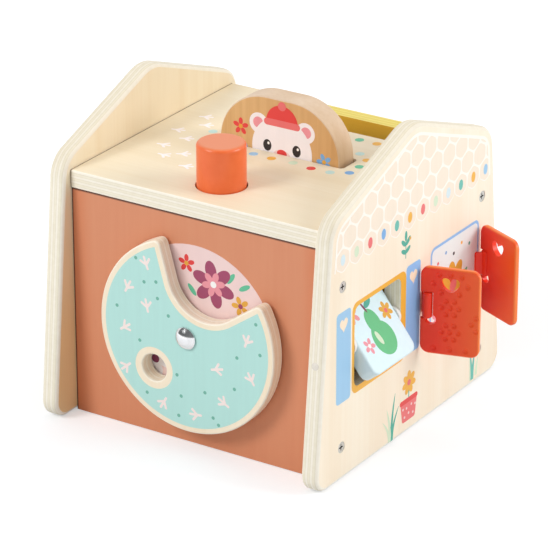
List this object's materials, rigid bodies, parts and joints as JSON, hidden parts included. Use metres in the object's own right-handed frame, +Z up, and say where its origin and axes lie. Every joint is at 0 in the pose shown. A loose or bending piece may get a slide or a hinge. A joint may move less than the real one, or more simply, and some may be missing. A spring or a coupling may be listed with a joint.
{
  "type": "pop up animal toy",
  "caption": "Wooden activity house with a turning scalloped disc, a push button that pops up an animal board, a turning picture tile in a window and two hinged shutter doors.",
  "frame": {"origin": "on the floor, under the middle of the house, at the middle of the base board's underside", "axes": "+X to the right along the front with the disc, +Y from the front to the back, +Z up"},
  "size_m": [0.2481, 0.2288, 0.2084],
  "materials": {
    "birch_board": "clear lacquered birch plywood",
    "terracotta_board": "matt terracotta paint on plywood",
    "mustard_board": "matt mustard paint on plywood",
    "teal_disc": "printed birch plywood",
    "bare_wood": "clear lacquered solid wood",
    "orange_button": "satin orange paint",
    "red_plastic": "moulded plastic",
    "pale_tile": "pale blue printed block",
    "steel": "zinc plated",
    "chrome_steel": "polished",
    "white_plastic": "moulded plastic"
  },
  "bodies": {
    "housing": {"left_side_panel": "birch_board", "right_side_panel": "birch_board", "front_panel": "terracotta_board", "back_panel": "mustard_board", "top_panel": "birch_board", "base_panel": "birch_board", "left_panel_screws": "steel", "right_panel_screws": "steel", "top_dowels": "bare_wood", "disc_bolt": "chrome_steel", "disc_spacer_washer": "white_plastic", "disc_inner_washer": "steel", "disc_nut": "steel", "pop_up_guide_rails": "bare_wood", "rocker_pin": "steel", "rocker_block": "bare_wood", "button_sleeve": "white_plastic", "button_sleeve_screws": "steel", "tile_pin": "chrome_steel", "tile_spacers": "white_plastic", "front_door_bracket": "red_plastic", "rear_door_bracket": "red_plastic"},
    "disc": {"turning_disc": "teal_disc"},
    "pop_up": {"pop_up_animal": "bare_wood"},
    "button": {"push_button": "orange_button", "button_cross_pin": "steel"},
    "rocker": {"rocker_lever": "bare_wood"},
    "tile": {"picture_tile": "pale_tile"},
    "front_shutter": {"front_door": "red_plastic"},
    "rear_shutter": {"rear_door": "red_plastic"}
  },
  "joints": [
    {"name": "disc_turn", "type": "hinge", "parent": "housing", "child": "disc", "pos_m": [0.0014, -0.0985, 0.0783], "axis": [0, 1, 0], "continuous": true},
    {"name": "button_press", "type": "slide", "parent": "housing", "child": "button", "axis": [0, 0, -1], "range_m": [0, 0.016]},
    {"name": "pop_up_rise", "type": "slide", "parent": "housing", "child": "pop_up", "axis": [0, 0, 1], "range_m": [0, 0.02]},
    {"name": "rocker_tilt", "type": "hinge", "parent": "housing", "child": "rocker", "pos_m": [0.0014, -0.03026, 0.1283], "axis": [1, 0, 0], "range_deg": [0, 28.91]},
    {"name": "tile_turn", "type": "hinge", "parent": "housing", "child": "tile", "pos_m": [0.0985, -0.0437, 0.0848], "axis": [0, 1, 0], "continuous": true},
    {"name": "front_door_swing", "type": "hinge", "parent": "housing", "child": "front_shutter", "pos_m": [0.1092, 0.0076, 0.0824], "axis": [0, 0, 1], "range_deg": [-55.5, 74.5]},
    {"name": "rear_door_swing", "type": "hinge", "parent": "housing", "child": "rear_shutter", "pos_m": [0.1092, 0.0828, 0.0837], "axis": [0, 0, 1], "range_deg": [-65, 90]}
  ],
  "couplings": [
    {"joint": "pop_up_rise", "follows": "button_press", "ratio": 1.25},
    {"joint": "rocker_tilt", "follows": "button_press", "rad_per_m": 31.54}
  ]
}
